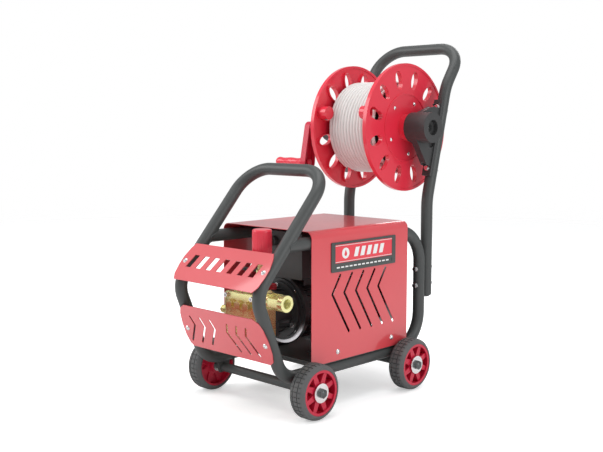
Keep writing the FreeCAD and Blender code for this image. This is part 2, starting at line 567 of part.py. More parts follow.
cowl = fuse([ring_y(COWL_R, COWL_R - 1.2, BARREL_Y1 - 2, COWL_Y1 - 6, 0, ZM),
             Part.makeCone(COWL_R, COWL_R - 6, 6, V(0, COWL_Y1 - 6, ZM), V(0, 1, 0)).cut(
                 Part.makeCone(COWL_R - 1.2, COWL_R - 7.2, 6.001, V(0, COWL_Y1 - 6.001, ZM), V(0, 1, 0))),
             cyl_y(COWL_R - 6, COWL_Y1 - 1.2, COWL_Y1, 0, ZM)])
grille = []
for i in range(24):
    g = box(-2.0, 2.0, COWL_Y1 - 8, COWL_Y1 + 5, 34, 84)
    g.rotate(V(0, 0, 0), V(0, 1, 0), 15.0 * i)
    g.translate(V(0, 0, ZM))
    grille.append(g)
cowl = cowl.cut(Part.makeCompound(grille))
for a in COWL_SCREWS:
    d = V(sin(radians(a)), 0, cos(radians(a)))
    cowl = cowl.cut(Part.makeCylinder(3.2, 30, V(0, 435, ZM) + d * 85, d))
save("fan_cowl", cowl)

ms = []
for x, z in SHIELD:
    ms.append(bolt(10.0, 4.0, 3.0, 24.0, (x, 82.5, z), (0, -1, 0)))
    ms.append(bolt(10.0, 4.0, 3.0, 20.0, (x, 440, z), (0, 1, 0)))
for a in COWL_SCREWS:
    d = V(sin(radians(a)), 0, cos(radians(a)))
    ms.append(bolt(10.0, 4.0, 3.0, 9.0, tuple(V(0, 435, ZM) + d * (COWL_R + 0.0)), tuple(d)))
for x, y in FOOT:
    ms.append(bolt(13.0, 5.3, 4.0, 22.0, (x, y, PLATE_Z1 + 10), (0, 0, 1)))
    nut = hexagon(13.0, 6.5, (x, y, PLATE_Z0 - 6.5), (0, 0, 1)).cut(cyl_z(4.0, 110, 130, x, y))
    ms.append(nut)
for x, z in PUMP_BOLTS:
    ms.append(bolt(13.0, 5.3, 4.0, 24.0, (x, 68.0, z), (0, -1, 0)))
save("motor_screws", *ms)

# rotor: shaft, core, fan and wobble plate turn together
shaft = fuse([cyl_y(SHAFT_R, 48, 420, 0, ZM), cyl_y(SHAFT_R2, 420, 482, 0, ZM)])
save("rotor_shaft", shaft)
save("rotor_core", ring_y(ROTOR_R, SHAFT_R, 170, 330, 0, ZM))
blades = [ring_y(24.0, SHAFT_R2, 456, 482, 0, ZM), ring_y(84.0, 20.0, 456, 459, 0, ZM)]
for i in range(9):
    b = box(-1.5, 1.5, 458, 486, 22, 84)
    b.rotate(V(0, 0, 0), V(0, 1, 0), 40.0 * i)
    b.translate(V(0, 0, ZM))
    blades.append(b)
save("cooling_fan", fuse(blades))
WOBBLE_Y, WOBBLE_TILT = 44.0, 8.0
disc = Part.makeCylinder(44.0, 9.0, V(0, -4.5, 0), V(0, 1, 0))
disc.rotate(V(0, 0, 0), V(1, 0, 0), WOBBLE_TILT)
disc.translate(V(0, WOBBLE_Y, ZM))
wob = fuse([disc, cyl_y(24.0, WOBBLE_Y, 68, 0, ZM)]).cut(cyl_y(SHAFT_R, 48, 90, 0, ZM))
save("wobble_plate", wob)

# ---- control box -----------------------------------------------------------------------
BX0, BX1, BY0, BY1, BZ0, BZ1 = -60.0, 100.0, 68.0, 205.0, BOX_SEAT_Z, 480.0
cbox = box(BX0, BX1, BY0, BY1, BZ0, BZ1)
cbox = rounded(cbox, 8.0, lambda e: along(e, (0, 1, 0)) or (along(e, (0, 0, 1)) and e.CenterOfMass.y > 100))
cbox = cbox.cut(box(BX0 + 3, BX1 - 3, BY0 - 1, BY1 - 3, BZ0 + 3, BZ1 - 3))
CABLE_X, CABLE_Z, CABLE_R = -35.0, 435.0, 5.0
cbox = cbox.cut(cyl_y(9.0, BY1 - 10, BY1 + 5, CABLE_X, CABLE_Z))
save("control_box", cbox)
SW_X, SW_Z = -5.0, 452.0
lid = box(BX0, BX1, BY0 - 4, BY0, BZ0, BZ1)
lid = rounded(lid, 8.0, lambda e: along(e, (0, 1, 0)))
lid = lid.cut(cyl_y(4.05, BY0 - 20, BY0 + 5, SW_X, SW_Z))
save("control_box_lid", lid)
switch = fuse([cyl_y(14.0, BY0 - 18, BY0 - 4.4, SW_X, SW_Z), cyl_y(4.0, BY0 - 10, BY0 + 12, SW_X, SW_Z),
               box(SW_X - 4, SW_X + 4, BY0 - 26, BY0 - 17, SW_Z - 14, SW_Z + 14)])
save("power_switch", switch)
cable = pipe([(CABLE_X, BY1 - 14, CABLE_Z), (CABLE_X, 270, CABLE_Z), (-118, 345, CABLE_Z),
              (-118, 468, CABLE_Z), (-118, 468, 300)], [30, 30, 28], CABLE_R)
gland = fuse([cyl_y(9.0, BY1 - 10, BY1, CABLE_X, CABLE_Z), cyl_y(12.0, BY1, BY1 + 8, CABLE_X, CABLE_Z),
              Part.makeCone(9.0, 6.0, 26, V(CABLE_X, BY1 + 8, CABLE_Z), V(0, 1, 0))])
plug = fuse([Part.makeCone(17.0, 7.5, 34, V(-118, 468, 282), V(0, 0, 1)), cyl_z(17.0, 262, 282, -118, 468),
             box(-126, -123, 465, 471, 246, 264), box(-113, -110, 465, 471, 246, 264)])
save("supply_cable", fuse([cable, gland, plug]))

# ---- pump ------------------------------------------------------------------------------
case = fuse([cyl_y(60.0, 0, 70, 0, ZM), cyl_y(80.0, 68, 78, 0, ZM), cyl_y(19.8, 76, 83, 0, ZM)])
ribs = []
for i in range(12):
    r = box(-2, 2, 2, 70, 50, 64)
    r.rotate(V(0, 0, 0), V(0, 1, 0), 30.0 * i + 15)
    r.translate(V(0, 0, ZM))
    ribs.append(r)
case = fuse([case] + ribs + [cyl_z(16.0, ZM + 40, ZM + 64, 8, 36)])
case = case.cut(cyl_y(50.0, -1, 72, 0, ZM)).cut(cyl_y(SHAFT_R + 0.3, 60, 90, 0, ZM))
case = case.cut(Part.makeCompound([cyl_y(4.2, 60, 90, x, z) for x, z in PUMP_BOLTS]))
CASE_BOLTS = [(sx * 51.0, ZM + sz * 55.0) for sx in (-1, 1) for sz in (-1, 1)]
OIL_X, OIL_Y = 8.0, 36.0
case = case.cut(cyl_z(9.0, ZM + 30, ZM + 70, OIL_X, OIL_Y))
front = box(-60.0, 60.0, 0, 14, ZM - 64, ZM + 64)
front = rounded(front, 10.0, lambda e: along(e, (0, 1, 0)))
case = fuse([case, front.cut(cyl_y(50.0, -1, 72, 0, ZM))])
case = case.cut(Part.makeCompound([cyl_y(4.0, -5, 12, x, z) for x, z in CASE_BOLTS]))
save("pump_crankcase", case)

oil = fuse([cyl_z(9.0, ZM + 52, ZM + 64, OIL_X, OIL_Y), cyl_z(15.0, ZM + 64, ZM + 78, OIL_X, OIL_Y)])
notches = [cyl_z(2.2, ZM + 66, ZM + 80, OIL_X + 15.6 * cos(pi / 5 * i), OIL_Y + 15.6 * sin(pi / 5 * i))
           for i in range(10)]
save("oil_cap", oil.cut(Part.makeCompound(notches)).cut(cyl_z(1.5, ZM + 40, ZM + 90, OIL_X, OIL_Y)))

PL = [(PLUNGER_PCR * sin(radians(a)), ZM + PLUNGER_PCR * cos(radians(a))) for a in (0, 120, 240)]
plungers, springs = [], []
for x, z in PL:
    plungers.append(fuse([cyl_y(PLUNGER_R, -32, 32, x, z), cyl_y(12.0, 27, 30, x, z)]))
    path = Part.makeHelix(5.2, 26.0, 9.8)
    prof = Part.Wire(Part.makeCircle(1.0, V(9.8, 0, 0), V(0, 1, 0)))
    spring = Part.Wire(path.Edges).makePipeShell([prof], True, True)
    if spring.ShapeType != "Solid":
        spring = Part.Solid(spring.Shells[0])
    spring.rotate(V(0, 0, 0), V(1, 0, 0), -90)
    spring.translate(V(x, 0.6 + 0.5, z))
    box_y = cyl_y(12.0, 0.02, 26.98, x, z)
    springs.append(max(spring.common(box_y).Solids, key=lambda q: q.Volume))
save("pump_plungers", *plungers)
save("plunger_springs", *springs)

head = box(-HEAD_X, HEAD_X, HEAD_Y0, 0, HEAD_Z0, HEAD_Z1)
head = rounded(head, 10.0, lambda e: along(e, (0, 1, 0)))
head = rounded(head, 3.0, lambda e: e.CenterOfMass.y < HEAD_Y0 + 0.5 and along(e, (1, 0, 0)))
ribs = [cyl_z(13.0, HEAD_Z1 - 6, HEAD_Z1 + 4, x, HEAD_Y0 + 30) for x in (-36.0, 0.0)]
head = fuse([head] + ribs)
head_cuts = [cyl_y(PLUNGER_R + PLUNGER_FIT, -60, 5, x, z) for x, z in PL]
head_cuts += [cyl_x(9.0, -50, HEAD_X + 1, VALVE_Y + 15, INLET_Z - 10)]
head_cuts += [cyl_x(6.0, -HEAD_X - 1, 50, OUTLET_Y, OUTLET_Z)]
CAPS = [(x, ZM + dz) for dz in (33.0, -33.0) for x in (-33.0, 0.0, 33.0)]
head_cuts += [cyl_y(9.0, HEAD_Y0 - 1, HEAD_Y0 + 12, x, z) for x, z in CAPS]
head_cuts += [cyl_y(4.2, HEAD_Y0 - 1, 5, x, z) for x, z in CASE_BOLTS]
HOSE_X, HOSE_Y = -50.0, -42.0
head_cuts += [cyl_z(5.0, HEAD_Z1 - 6, HEAD_Z1 + 6, HOSE_X, HOSE_Y)]
for c in head_cuts:
    head = head.cut(c)
save("pump_head", head)

caps = []
for x, z in CAPS:
    c = fuse([cyl_y(9.0, HEAD_Y0, HEAD_Y0 + 12, x, z), cyl_y(13.5, HEAD_Y0 - 3, HEAD_Y0, x, z),
              hexagon(21.0, 8.0, (x, HEAD_Y0 - 11, z), (0, 1, 0))])
    caps.append(c)
save("valve_caps", *caps)
save("head_bolts", *[fuse([cyl_y(4.0, HEAD_Y0, 12, x, z), cyl_y(6.5, HEAD_Y0 - 8, HEAD_Y0, x, z)]).cut(
    hexagon(6.0, 4.5, (x, HEAD_Y0 - 8.5, z), (0, 1, 0))) for x, z in CASE_BOLTS])

# unloader block on the head's right end, with the inlet nipple and the vertical valve body
HOSE_Z = 383.0                            # height of the bypass hose's level run
ub = box(HEAD_X, 90, -80, -40, 286, 336)
ub = rounded(ub, 4.0, lambda e: along(e, (1, 0, 0)))
ub = fuse([ub, cyl_z(16.0, 330, 392, KNOB_X, VALVE_Y),
           hexagon(30.0, 14.0, (KNOB_X, VALVE_Y, 360), (0, 0, 1)),
           cyl_z(12.0, 392, 424, KNOB_X, VALVE_Y), cyl_z(5.0, 424, 478, KNOB_X, VALVE_Y),
           cyl_x(18.0, 88, 101, VALVE_Y, INLET_Z), cyl_x(10.0, 100, 118, VALVE_Y, INLET_Z),
           cyl_x(14.5, 114, 118, VALVE_Y, INLET_Z), cyl_y(7.0, VALVE_Y, VALVE_Y + 22, KNOB_X, HOSE_Z)])
ub = ub.cut(cyl_x(6.5, 70, 130, VALVE_Y, INLET_Z)).cut(cyl_x(5.0, 20, 66, VALVE_Y + 15, INLET_Z - 10))
save("unloader_body", ub)

COUPLING_X = 167.0
cp = fuse([hexagon(40.0, 38.0, (113, VALVE_Y, INLET_Z), (1, 0, 0)),
           cyl_x(21.0, 101.4, 114, VALVE_Y, INLET_Z),
           cyl_x(22.3, 150, COUPLING_X, VALVE_Y, INLET_Z)])
cp = cp.cut(cyl_x(10.05, 100, 114.05, VALVE_Y, INLET_Z)).cut(cyl_x(15.5, 113.9, 125, VALVE_Y, INLET_Z))
cp = cp.cut(cyl_x(13.2, 124, COUPLING_X + 1, VALVE_Y, INLET_Z))
save("inlet_coupling", cp)

outlet = fuse([cyl_x(6.0, -HEAD_X, -HEAD_X + 12, OUTLET_Y, OUTLET_Z),
               hexagon(24.0, 12.0, (-HEAD_X - 12, OUTLET_Y, OUTLET_Z), (1, 0, 0)),
               cyl_x(11.0, -HEAD_X - 36, -HEAD_X - 10, OUTLET_Y, OUTLET_Z)])
save("outlet_fitting", outlet.cut(cyl_x(4.0, -HEAD_X - 40, -HEAD_X + 20, OUTLET_Y, OUTLET_Z)))

knob = cyl_z(KNOB_R, KNOB_Z0, KNOB_Z1, KNOB_X, VALVE_Y)
knob = rounded(knob, 6.0, lambda e: e.CenterOfMass.z > KNOB_Z1 - 1 and e.Length > 50)
flutes = [cyl_z(2.0, KNOB_Z0 - 1, KNOB_Z1 - 12, KNOB_X + (KNOB_R + 1.4) * cos(pi / 16 * i),
                VALVE_Y + (KNOB_R + 1.4) * sin(pi / 16 * i)) for i in range(32)]
knob = knob.cut(Part.makeCompound(flutes)).cut(cyl_z(5.05, KNOB_Z0 - 1, KNOB_Z1 - 20, KNOB_X, VALVE_Y))
knob = knob.cut(ring_z(KNOB_R - 4, 9.0, KNOB_Z0 - 1, KNOB_Z1 - 16, KNOB_X, VALVE_Y))
save("pressure_knob", knob)

hose = pipe([(HOSE_X, HOSE_Y, HEAD_Z1 - 5), (HOSE_X, HOSE_Y, HOSE_Z), (HOSE_X + 62, HOSE_Y, HOSE_Z),
             (KNOB_X, -12, HOSE_Z), (KNOB_X, VALVE_Y + 22.02, HOSE_Z)], [24, 20, 14], 4.9)
save("bypass_hose", hose)

# ---- hose reel -------------------------------------------------------------------------
RY, RZ = REEL_Y, REEL_Z
CUP_RING, CUP_ANGLE, CUP_R, CUP_LEN = 160.5, 16.0, 19.5, 33.0


def ellipse_prism(r_mid, ang, long_r, wide_r, x0, x1):
    """Radially long oval at a ring radius and angle (from straight up, towards the rear)."""
    e = Part.Ellipse(V(0, 0, 0), long_r, wide_r)
    f = Part.Face(Part.Wire(e.toShape()))
    s = f.extrude(V(0, 0, x1 - x0))
    s.rotate(V(0, 0, 0), V(0, 1, 0), -90)          # long axis on Z, extruded along -X
    s.translate(V(x1, 0, r_mid))
    s.rotate(V(0, 0, 0), V(1, 0, 0), -ang)
    s.translate(V(0, RY, RZ))
    return s


x1 = FLANGE_X0 + FLANGE_T
flange = fuse([cyl_x(FLANGE_R, FLANGE_X0, x1, RY, RZ),
               ring_x(FLANGE_R, FLANGE_R - 7, FLANGE_X0 - 3, x1 + 2, RY, RZ),
               ring_x(104.0, 99.0, x1 - 1, x1 + 2, RY, RZ), cyl_x(40.0, x1 - 1, HUB_X0 - 0.6, RY, RZ)])
collars, opens = [], []
for i in range(HOLES):
    a = 15.0 + 30.0 * i
    collars.append(ellipse_prism(HOLE_RING, a, HOLE_LONG / 2 + 3, HOLE_WIDE / 2 + 3,
                                 FLANGE_X0 - 7, FLANGE_X0 + 2))
    opens.append(ellipse_prism(HOLE_RING, a, HOLE_LONG / 2, HOLE_WIDE / 2, FLANGE_X0 - 12, x1 + 12))
cy, cz = RY - CUP_RING * cos(radians(CUP_ANGLE)), RZ + CUP_RING * sin(radians(CUP_ANGLE))
cup = cyl_x(CUP_R, FLANGE_X0 - CUP_LEN, FLANGE_X0 + 1, cy, cz)
flange = fuse([flange] + collars + [cup])
for o in opens:
    flange = flange.cut(o)
flange = flange.cut(cyl_x(CUP_R - 3, FLANGE_X0 - CUP_LEN + 3, x1 + 5, cy, cz))
flange = flange.cut(cyl_x(REEL_SHAFT_R, 0, 200, RY, RZ))
REEL_SCREWS = [(RY + 80 * sin(radians(28 + 72 * i)), RZ + 80 * cos(radians(28 + 72 * i))) for i in range(5)]
for y, z in REEL_SCREWS:
    flange = flange.cut(cyl_x(2.6, 80, 130, y, z))
save("reel_flanges", flange, mirror_x(flange))

drum = fuse([ring_x(DRUM_R, DRUM_R - 4, -FLANGE_X0, FLANGE_X0, RY, RZ)]
            + [ring_x(DRUM_R, REEL_SHAFT_R, x, x + 4, RY, RZ) for x in (-60.0, 56.0)]
            + [ring_x(90.0, DRUM_R - 2, xa, xb, RY, RZ) for xa, xb in ((-FLANGE_X0, -FLANGE_X0 + 5),
                                                                       (FLANGE_X0 - 5, FLANGE_X0))])
for s in (-1, 1):
    for y, z in REEL_SCREWS:
        drum = drum.cut(cyl_x(2.5, min(s * 80, s * 110), max(s * 80, s * 110), y, z))
save("reel_drum", drum)
rs = []
for s in (-1, 1):
    for y, z in REEL_SCREWS:
        b = V(s * x1, y, z)
        ball = Part.makeSphere(7.0, b - V(s * 4.0, 0, 0))
        headr = Part.makeCylinder(5.5, 4, b, V(s, 0, 0)).common(ball)
        rs.append(fuse([headr, Part.makeCylinder(2.5, 14, b - V(s * 12, 0, 0), V(s, 0, 0))]))
save("reel_screws", *rs)

# wound hose: outer surface scalloped like the turns of the top layer
turns = 14
pitch = 2 * COIL_HALF / turns
edges = []
c_r = COIL_R - pitch / 2
for i in range(turns):
    xc = -COIL_HALF + pitch * (i + 0.5)
    a, b = V(xc - pitch / 2, RY, RZ + c_r), V(xc + pitch / 2, RY, RZ + c_r)
    edges.append(Part.Arc(a, V(xc, RY, RZ + COIL_R), b).toShape())
p0, p1 = V(-COIL_HALF, RY, RZ + c_r), V(COIL_HALF, RY, RZ + c_r)
q0, q1 = V(-COIL_HALF, RY, RZ + DRUM_R), V(COIL_HALF, RY, RZ + DRUM_R)
edges += [Part.makeLine(p1, q1), Part.makeLine(q1, q0), Part.makeLine(q0, p0)]
coil = Part.Face(Part.Wire(edges)).revolve(V(0, RY, RZ), V(1, 0, 0), 360)
save("wound_hose", coil)

shaft = cyl_x(REEL_SHAFT_R, CRANK_X1 + 6, HUB_X1 - 22, RY, RZ)
save("reel_shaft", shaft)

bracket_parts = [cyl_x(HUB_OUT_R, HUB_X0, HUB_X1, RY, RZ)]
low = V(0, *BRACKET_BOLTS[0]) - lean * 24 + front_n * TUBE_R
top = V(0, *BRACKET_BOLTS[1]) + lean * 24 + front_n * TUBE_R
pad = prism([(X - 15, low.y, low.z), (X - 15, top.y, top.z),
             (X - 15, (top + front_n * PAD_T).y, (top + front_n * PAD_T).z),
             (X - 15, (low + front_n * PAD_T).y, (low + front_n * PAD_T).z)], (30, 0, 0))
bracket_parts.append(pad)


def tangent_point(p, side):
    """Touch point of the line from p (y, z) on a circle just inside the hub's surface."""
    dy, dz = p.y - RY, p.z - RZ
    dist = sqrt(dy * dy + dz * dz)
    base = atan2(dz, dy)
    r = HUB_OUT_R - 1.5
    off = acos(r / dist) * side
    return (RY + r * cos(base + off), RZ + r * sin(base + off))


lf, tf = low + lean * 8 + front_n * 4, top - lean * 8 + front_n * 4
t_low, t_top = tangent_point(lf, -1), tangent_point(tf, 1)
web_pts = [(lf.y, lf.z), t_low, (RY - 20, RZ), t_top, (tf.y, tf.z)]
web = prism([(X - 11, y, z) for y, z in web_pts], (22, 0, 0))
pocket_c = V(0, (low.y * 0.45 + top.y * 0.25 + RY * 0.3), (low.z * 0.45 + top.z * 0.25 + RZ * 0.3))
web = web.cut(cyl_x(15.0, X + 4, X + 20, pocket_c.y, pocket_c.z))
bracket_parts.append(web)
bracket = fuse(bracket_parts)
bracket = bracket.cut(cyl_x(23.0, HUB_X1 - 14, HUB_X1 + 5, RY, RZ))
bracket = bracket.cut(cyl_x(REEL_SHAFT_R + 0.06, HUB_X0 - 5, HUB_X1 + 5, RY, RZ))
for y, z in BRACKET_BOLTS:
    bracket = bracket.cut(Part.makeCylinder(TB_R + 0.2, 80, V(X, y, z), front_n))
    seat = V(X, y, z) + front_n * (TUBE_R + PAD_T)
    bracket = bracket.cut(Part.makeCylinder(12.0, 40, seat, front_n))
save("reel_brackets", bracket, mirror_x(bracket))

# crank: socket on the shaft, channel arm, spinning grip
tilt = radians(CRANK_TILT)
gy, gz = RY - CRANK_THROW * sin(tilt), RZ - CRANK_THROW * cos(tilt)
socket_x = -HUB_X1 - 1.0


def hull_prism(r0, r1, xa, xb):
    """Two circles and their common tangents, in the arm's plane, extruded along X."""
    ay, az = -sin(tilt), -cos(tilt)
    off = acos((r0 - r1) / CRANK_THROW)
    base = atan2(az, ay)
    pts = []
    for side in (1, -1):
        a = base + side * off
        pts.append(((RY + r0 * cos(a), RZ + r0 * sin(a)), (gy + r1 * cos(a), gz + r1 * sin(a))))
    quad = prism([(xa, pts[0][0][0], pts[0][0][1]), (xa, pts[0][1][0], pts[0][1][1]),
                  (xa, pts[1][1][0], pts[1][1][1]), (xa, pts[1][0][0], pts[1][0][1])], (xb - xa, 0, 0))
    return fuse([quad, cyl_x(r0, xa, xb, RY, RZ), cyl_x(r1, xa, xb, gy, gz)])


arm = hull_prism(19.0, 24.5, CRANK_X1, CRANK_X0)
arm = arm.cut(hull_prism(15.0, 20.5, CRANK_X1 + 5, CRANK_X0 + 1))
arm = fuse([arm, cyl_x(17.0, CRANK_X0 - 18, socket_x, RY, RZ),
            cyl_x(10.0, CRANK_X0 - 18, CRANK_X0, gy, gz)])
arm = arm.cut(cyl_x(REEL_SHAFT_R, CRANK_X1 + 6, socket_x + 5, RY, RZ))
gx0 = CRANK_X1 - 0.6 - GRIP_LEN
arm = fuse([arm, cyl_x(5.0, gx0 + 8, CRANK_X0, gy, gz), cyl_x(9.0, gx0 + 4, gx0 + 8, gy, gz)])
save("crank_arm", arm)
prof = [(0.0, 0.0), (0.0, 13.0), (6.0, 14.4), (30.0, 13.2), (64.0, 15.0), (104.0, 14.0), (120.0, 15.0),
        (GRIP_LEN, 10.5), (GRIP_LEN, 0.0)]
wire = [V(gx0 + GRIP_LEN - a, gy, gz + r) for a, r in prof]
spl = Part.BSplineCurve()
spl.interpolate(wire[1:-1])
edges = [Part.makeLine(wire[0], wire[1]), spl.toShape(), Part.makeLine(wire[-2], wire[-1]),
         Part.makeLine(wire[-1], wire[0])]
grip = Part.Face(Part.Wire(edges)).revolve(V(0, gy, gz), V(1, 0, 0), 360)
grip = grip.cut(cyl_x(5.05, gx0 + 7, gx0 + GRIP_LEN + 1, gy, gz))
grip = grip.cut(cyl_x(9.1, gx0 + 3.9, gx0 + 8.1, gy, gz))
save("crank_grip", grip)
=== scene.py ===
import json
import math

import bmesh
import bpy
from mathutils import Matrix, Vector


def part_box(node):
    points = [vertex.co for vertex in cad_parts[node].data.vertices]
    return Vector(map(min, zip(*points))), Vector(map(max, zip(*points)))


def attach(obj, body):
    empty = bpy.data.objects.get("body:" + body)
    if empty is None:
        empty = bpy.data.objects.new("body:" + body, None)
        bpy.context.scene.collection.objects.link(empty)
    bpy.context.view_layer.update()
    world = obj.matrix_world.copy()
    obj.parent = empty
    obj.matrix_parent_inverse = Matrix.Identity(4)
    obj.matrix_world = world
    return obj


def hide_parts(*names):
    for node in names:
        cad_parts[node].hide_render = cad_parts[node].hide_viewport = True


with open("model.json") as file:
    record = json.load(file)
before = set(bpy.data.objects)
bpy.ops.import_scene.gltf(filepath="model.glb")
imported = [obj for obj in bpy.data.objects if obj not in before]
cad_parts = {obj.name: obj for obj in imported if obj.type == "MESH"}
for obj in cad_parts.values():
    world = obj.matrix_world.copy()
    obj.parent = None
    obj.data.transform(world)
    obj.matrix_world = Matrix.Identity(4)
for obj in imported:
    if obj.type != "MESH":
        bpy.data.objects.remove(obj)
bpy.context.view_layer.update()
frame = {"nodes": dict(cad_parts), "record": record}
NODES = frame["nodes"]
SLOT_OF = {s["node"]: s["material_slot"] for s in frame["record"]["subparts"]}
JOINT_AT = {j["name"]: Vector(j["pos_m"]) for j in frame["record"]["behaviour"]["joints"]}
MOUNTS = {m["name"]: m for m in frame["record"]["mounts"]}
# the ground point in the machine's mid plane, straight under the front axle
BASE = (JOINT_AT["wheel_front_left_spin"] + JOINT_AT["wheel_front_right_spin"]) / 2
BASE.z = 0.0


# ---- procedural materials --------------------------------------------------------------
def lighter(colour, gain, lift):
    """The colour scaled and lifted, for thin paint, scuffs and dust."""
    return tuple(min(1, c * gain + lift) for c in colour)


class Shader:
    """A node tree with one Principled shader, built in steps."""

    FLAT, SHARP = 0.995, 0.86           # cosine between the true and the rounded normal

    def __init__(self, name, colour, rough, metallic=0.0, **sockets):
        self.mat = bpy.data.materials.new(name)
        self.mat.use_nodes = True
        self.tree = self.mat.node_tree
        self.bsdf = self.tree.nodes["Principled BSDF"]
        self.coords = self.add("ShaderNodeTexCoord").outputs["Object"]
        self.height = None
        self.rounded = None
        self.set("Base Color", (*colour, 1.0))
        self.set("Roughness", rough)
        self.set("Metallic", metallic)
        for key, value in sockets.items():
            self.set(key.replace("_", " "), value)
        self.colour = self.rgb(colour)
        self.rough = self.value(rough)

    def add(self, kind, **props):
        n = self.tree.nodes.new(kind)
        for k, v in props.items():
            setattr(n, k, v)
        return n

    def set(self, socket, value):
        self.bsdf.inputs[socket].default_value = value

    def link(self, a, b):
        self.tree.links.new(a, b)

    def rgb(self, colour):
        n = self.add("ShaderNodeRGB")
        n.outputs[0].default_value = (*colour, 1.0)
        return n.outputs[0]

    def value(self, v):
        n = self.add("ShaderNodeValue")
        n.outputs[0].default_value = v
        return n.outputs[0]

    def axes(self):
        """The object coordinates as three separate outputs."""
        n = self.add("ShaderNodeSeparateXYZ")
        self.link(self.coords, n.inputs[0])
        return n.outputs

    def math(self, op, a, b=None, clamp=False):
        n = self.add("ShaderNodeMath", operation=op, use_clamp=clamp)
        for i, x in enumerate((a, b)):
            if x is None:
                continue
            if isinstance(x, (int, float)):
                n.inputs[i].default_value = x
            else:
                self.link(x, n.inputs[i])
        return n.outputs[0]

    def times(self, a, b):
        return self.math("MULTIPLY", a, b)

    def noise(self, scale, detail=3.0, rough=0.55, stretch=None):
        """Fractal noise between 0 and 1; scale counts its cells to the metre."""
        n = self.add("ShaderNodeTexNoise")
        n.inputs["Scale"].default_value = scale
        n.inputs["Detail"].default_value = detail
        n.inputs["Roughness"].default_value = rough
        src = self.coords
        if stretch:
            m = self.add("ShaderNodeMapping")
            m.inputs["Scale"].default_value = stretch
            self.link(src, m.inputs["Vector"])
            src = m.outputs[0]
        self.link(src, n.inputs["Vector"])
        return n.outputs["Fac"]

    def ramp(self, fac, lo, hi, to_lo=0.0, to_hi=1.0):
        """A smooth step between two values; lo may be the larger one."""
        n = self.add("ShaderNodeMapRange", interpolation_type="SMOOTHSTEP")
        self.link(fac, n.inputs["Value"])
        for key, v in (("From Min", lo), ("From Max", hi), ("To Min", to_lo), ("To Max", to_hi)):
            n.inputs[key].default_value = v
        return n.outputs["Result"]

    def tint(self, fac, colour):
        """Mixes the colour built so far towards another one."""
        n = self.add("ShaderNodeMix", data_type="RGBA")
        self.link(fac, n.inputs["Factor"])
        ends = {i.name: i for i in n.inputs if i.type == "RGBA"}
        self.link(self.colour, ends["A"])
        ends["B"].default_value = (*colour, 1.0)
        self.colour = [o for o in n.outputs if o.type == "RGBA"][0]

    def add_rough(self, fac, amount):
        self.rough = self.math("ADD", self.rough, self.times(fac, amount), True)

    def bump(self, fac, depth):
        """Adds a height in metres."""
        h = self.times(fac, depth)
        self.height = h if self.height is None else self.math("ADD", self.height, h)

    def edges(self, radius):
        """1 on convex and concave edges, 0 on flats; the shading normal rounds the same edges."""
        b = self.add("ShaderNodeBevel", samples=4)
        b.inputs["Radius"].default_value = radius
        self.rounded = b.outputs[0]
        g = self.add("ShaderNodeNewGeometry")
        d = self.add("ShaderNodeVectorMath", operation="DOT_PRODUCT")
        self.link(b.outputs[0], d.inputs[0])
        self.link(g.outputs["Normal"], d.inputs[1])
        return self.ramp(d.outputs["Value"], self.FLAT, self.SHARP)

    def edge_wear_and_highlight(self, radius, colour, amount):
        """Tints the edges, as thin or rubbed paint does; where the tint is lighter than the surface it is
        also a painted highlight along the edges.
        """
        self.tint(self.times(self.edges(radius), amount), colour)

    def done(self):
        self.link(self.colour, self.bsdf.inputs["Base Color"])
        self.link(self.rough, self.bsdf.inputs["Roughness"])
        if self.height is not None:
            n = self.add("ShaderNodeBump")
            n.inputs["Strength"].default_value = 1.0
            n.inputs["Distance"].default_value = 1.0
            self.link(self.height, n.inputs["Height"])
            if self.rounded is not None:
                self.link(self.rounded, n.inputs["Normal"])
            self.link(n.outputs[0], self.bsdf.inputs["Normal"])
        return self.mat


def powder_coat(name, colour, rough, peel, edge_colour, edge_amount, coat=0.0):
    """Sprayed and baked paint: orange peel, faint cloudiness, thin paint along edges, partly a painted
    highlight.
    """
    s = Shader(name, colour, rough, Coat_Weight=coat, Coat_Roughness=0.05)
    s.tint(s.times(s.ramp(s.noise(9.0, 4.0), 0.35, 0.75), 0.06), lighter(colour, 1.5, 0.03))
    s.add_rough(s.noise(60.0), 0.10)
    s.bump(s.noise(420.0, 2.0), 0.00012 * peel)
    s.bump(s.noise(1500.0, 2.0), 0.00003 * peel)
    s.edge_wear_and_highlight(0.0012, edge_colour, edge_amount)
    return s.done()


def moulded(name, colour, rough, grain=1.0, coat=0.0):
    """Moulded plastic with a fine spark-eroded grain and light scuffs."""
    s = Shader(name, colour, rough, Coat_Weight=coat)
    s.bump(s.noise(2200.0, 2.0), 0.00006 * grain)
    s.bump(s.noise(26.0, 2.0), 0.0003 * grain)
    s.add_rough(s.noise(35.0, 4.0), 0.12)
    scuffs = s.ramp(s.noise(14.0, 6.0, 0.7, stretch=(1.0, 1.0, 3.0)), 0.62, 0.8)
    s.tint(s.times(scuffs, 0.05), lighter(colour, 1.6, 0.05))
    # lighter edges: partly scuffs, partly a painted highlight
    s.edge_wear_and_highlight(0.0009, lighter(colour, 1.7, 0.04), 0.18)
    return s.done()


def metal(name, colour, rough, cast=0.0, stain=None, metallic=1.0):
    """Bare metal, smooth or sand cast; stain is a darker colour and how much of it lies in clouds."""
    s = Shader(name, colour, rough, metallic)
    if cast:
        s.bump(s.noise(700.0), 0.00035 * cast)
        s.bump(s.noise(90.0), 0.0009 * cast)
        s.add_rough(s.noise(200.0, 2.0), 0.2 * cast)
    if stain:
        s.tint(s.ramp(s.noise(30.0, 5.0, 0.65), 0.5, 0.78, 0.0, stain[1]), stain[0])
    # lighter edges: partly rubbed metal, partly a painted highlight
    s.edge_wear_and_highlight(0.0007, lighter(colour, 1.25, 0.08), 0.3)
    return s.done()


